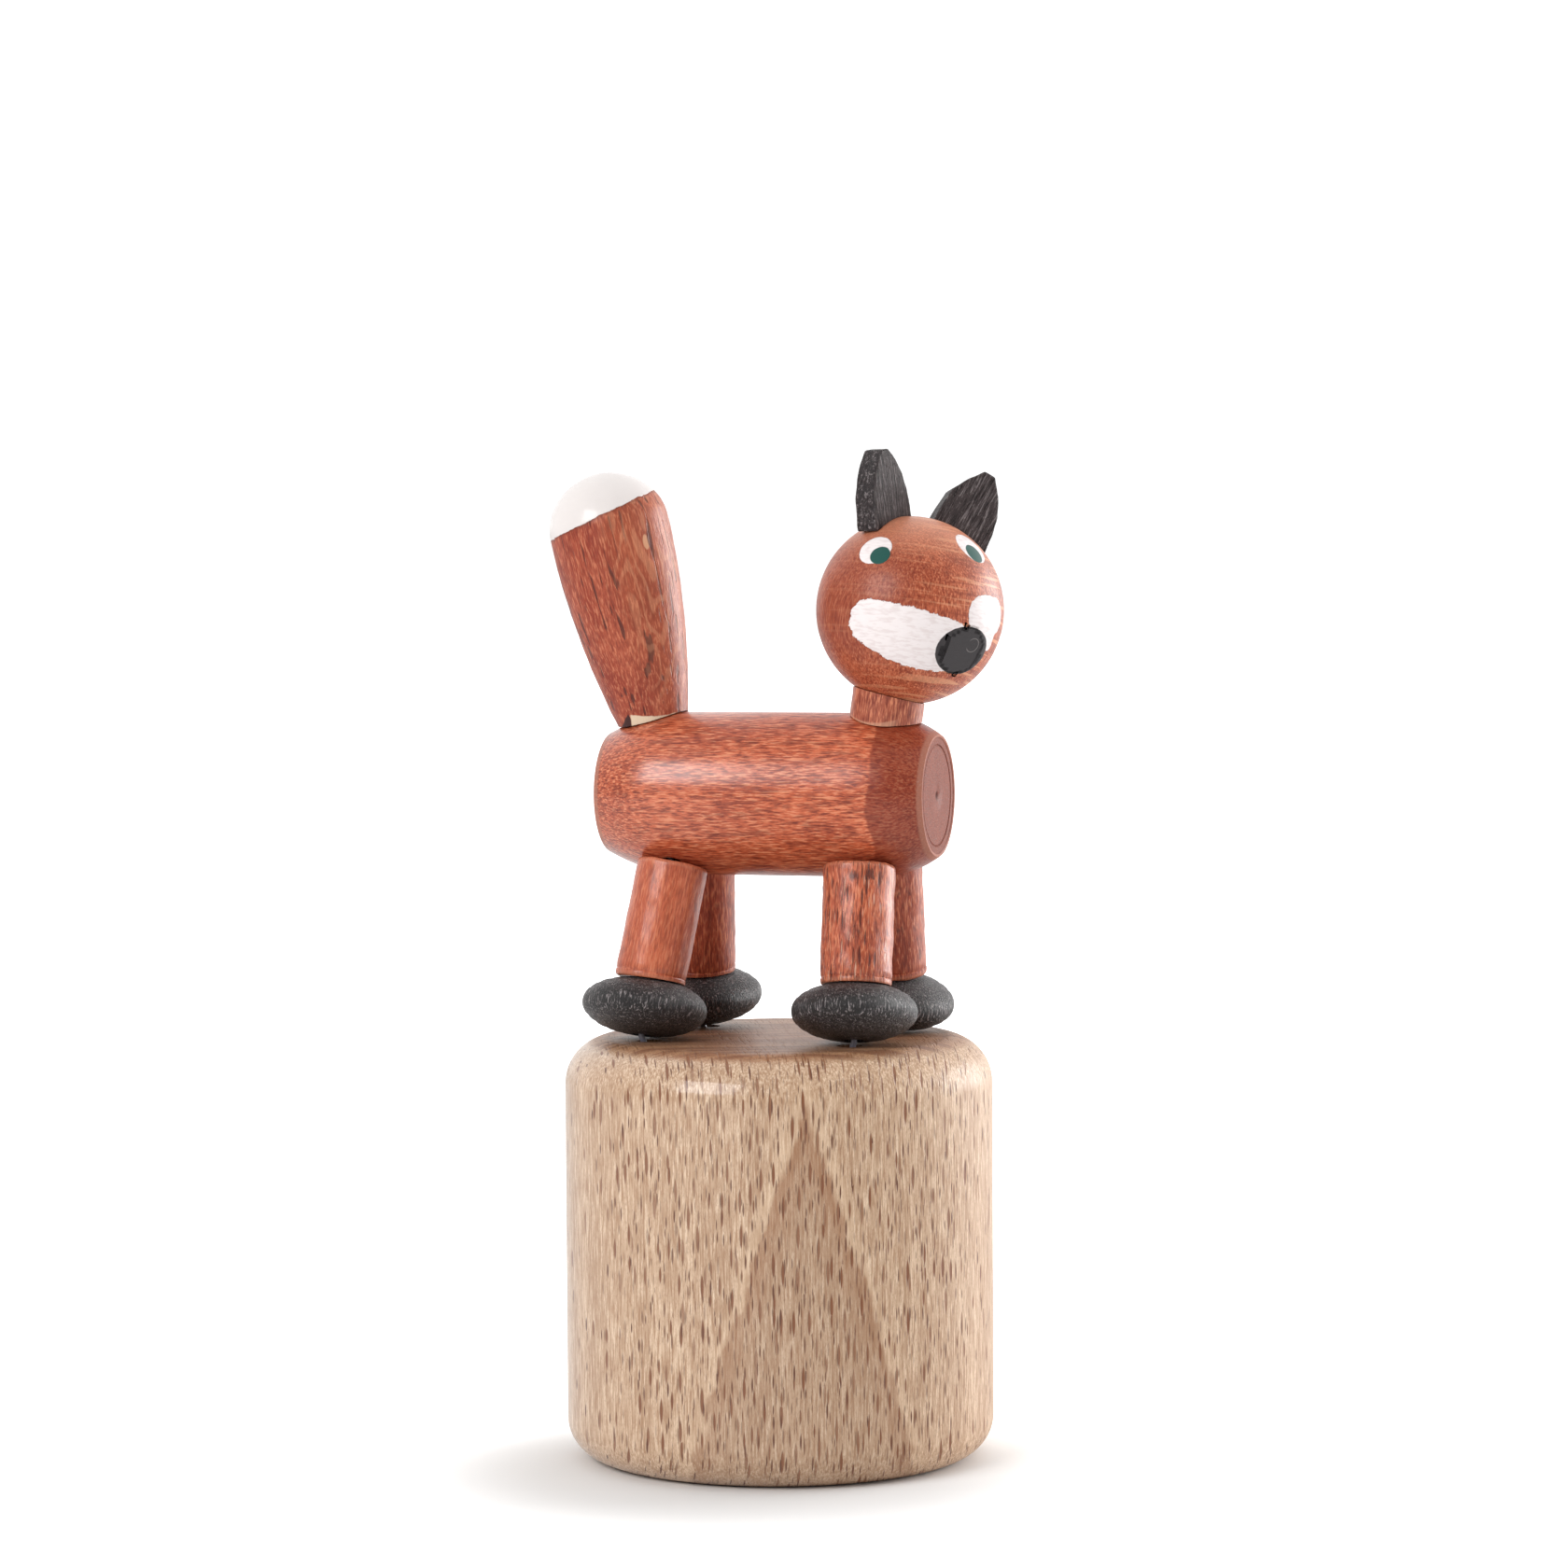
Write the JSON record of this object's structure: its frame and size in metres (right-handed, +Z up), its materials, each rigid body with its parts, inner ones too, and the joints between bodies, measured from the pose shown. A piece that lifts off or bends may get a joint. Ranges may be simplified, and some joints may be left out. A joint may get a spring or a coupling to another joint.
{
  "type": "push-button collapsing fox toy",
  "caption": "Push-button toy: a strung wooden bead fox on a hollow turned base; pressing the button from below slackens its threads and it buckles.",
  "frame": {"origin": "centre of the outer box at the underside of the base, which is the base's own axis", "axes": "+Z up, +X towards the fox's head along its body, +Y to the fox's left"},
  "size_m": [0.0393, 0.036, 0.0847],
  "materials": {
    "beech": "fine sanded beech, clear satin wax",
    "stained_wood": "red-brown stain under satin lacquer",
    "black_wood": "black-brown stain, fine open grain",
    "nylon": "twisted nylon thread",
    "spring_steel": "drawn wire"
  },
  "bodies": {
    "base": {"base": "beech", "return_spring": "spring_steel", "thread_front_right": "nylon", "thread_front_left": "nylon", "thread_rear_right": "nylon", "thread_rear_left": "nylon"},
    "button": {"push_button": "beech", "thread_peg_front_right": "beech", "thread_peg_front_left": "beech", "thread_peg_rear_right": "beech", "thread_peg_rear_left": "beech"},
    "foot_rear_right": {"foot_rear_right": "black_wood"},
    "leg_rear_right": {"leg_rear_right": "stained_wood"},
    "torso": {"body": "stained_wood"},
    "leg_rear_left": {"leg_rear_left": "stained_wood"},
    "foot_rear_left": {"foot_rear_left": "black_wood"},
    "leg_front_right": {"leg_front_right": "stained_wood"},
    "foot_front_right": {"foot_front_right": "black_wood"},
    "leg_front_left": {"leg_front_left": "stained_wood"},
    "foot_front_left": {"foot_front_left": "black_wood"},
    "neck": {"neck": "stained_wood"},
    "head": {"head": "stained_wood", "ear_right": "black_wood", "ear_left": "black_wood"},
    "tail": {"tail": "stained_wood"}
  },
  "joints": [
    {"name": "button_press", "type": "slide", "parent": "base", "child": "button", "axis": [0, 0, 1], "range_m": [0, 0.0055], "stiffness_N_per_m": 150, "springref_m": -0.01, "deforming": ["return_spring", "thread_front_right", "thread_front_left", "thread_rear_right", "thread_rear_left"]},
    {"name": "torso_sway", "type": "slide", "parent": "base", "child": "torso", "axis": [0.9534, 0, 0.3016], "range_m": [0, 0.00433]},
    {"name": "hip_front_right", "type": "hinge", "parent": "torso", "child": "leg_front_right", "pos_m": [0.00542, -0.00391, 0.04868], "axis": [0, 1, 0], "range_deg": [0, 25.1]},
    {"name": "ankle_front_right", "type": "hinge", "parent": "leg_front_right", "child": "foot_front_right", "pos_m": [0.00996, -0.00587, 0.04078], "axis": [0, 1, 0], "range_deg": [-17.1, 0]},
    {"name": "hip_front_left", "type": "hinge", "parent": "torso", "child": "leg_front_left", "pos_m": [0.00532, 0.00429, 0.04907], "axis": [0, 1, 0], "range_deg": [0, 25.1]},
    {"name": "ankle_front_left", "type": "hinge", "parent": "leg_front_left", "child": "foot_front_left", "pos_m": [0.00986, 0.00592, 0.04117], "axis": [0, 1, 0], "range_deg": [-19.7, 0]},
    {"name": "hip_rear_right", "type": "hinge", "parent": "torso", "child": "leg_rear_right", "pos_m": [-0.01092, -0.00394, 0.04831], "axis": [0, 1, 0], "range_deg": [0, 25.1]},
    {"name": "ankle_rear_right", "type": "hinge", "parent": "leg_rear_right", "child": "foot_rear_right", "pos_m": [-0.00638, -0.00597, 0.04041], "axis": [0, 1, 0], "range_deg": [-21.7, 0]},
    {"name": "hip_rear_left", "type": "hinge", "parent": "torso", "child": "leg_rear_left", "pos_m": [-0.01114, 0.00387, 0.04899], "axis": [0, 1, 0], "range_deg": [0, 25.1]},
    {"name": "ankle_rear_left", "type": "hinge", "parent": "leg_rear_left", "child": "foot_rear_left", "pos_m": [-0.0066, 0.00582, 0.04109], "axis": [0, 1, 0], "range_deg": [-23.1, 0]},
    {"name": "neck_nod", "type": "hinge", "parent": "torso", "child": "neck", "pos_m": [0.01285, -0.0005, 0.06194], "axis": [0, 1, 0], "range_deg": [0, 28.1]},
    {"name": "head_turn", "type": "hinge", "parent": "neck", "child": "head", "pos_m": [0.0117, 0, 0.0713], "axis": [0.168, 0.073, 0.9831], "range_deg": [-30, 90]},
    {"name": "tail_droop", "type": "hinge", "parent": "torso", "child": "tail", "pos_m": [-0.0138, 0, 0.0612], "axis": [0, 1, 0], "range_deg": [-30.1, 0]}
  ],
  "couplings": [
    {"joint": "torso_sway", "follows": "button_press", "ratio": 0.7838},
    {"joint": "hip_front_right", "follows": "button_press", "rad_per_m": 79.33},
    {"joint": "ankle_front_right", "follows": "button_press", "rad_per_m": -53.95},
    {"joint": "hip_front_left", "follows": "button_press", "rad_per_m": 79.33},
    {"joint": "ankle_front_left", "follows": "button_press", "rad_per_m": -62.2},
    {"joint": "hip_rear_right", "follows": "button_press", "rad_per_m": 79.33},
    {"joint": "ankle_rear_right", "follows": "button_press", "rad_per_m": -68.54},
    {"joint": "hip_rear_left", "follows": "button_press", "rad_per_m": 79.33},
    {"joint": "ankle_rear_left", "follows": "button_press", "rad_per_m": -72.99},
    {"joint": "neck_nod", "follows": "button_press", "rad_per_m": 88.86},
    {"joint": "tail_droop", "follows": "button_press", "rad_per_m": -95.2}
  ]
}
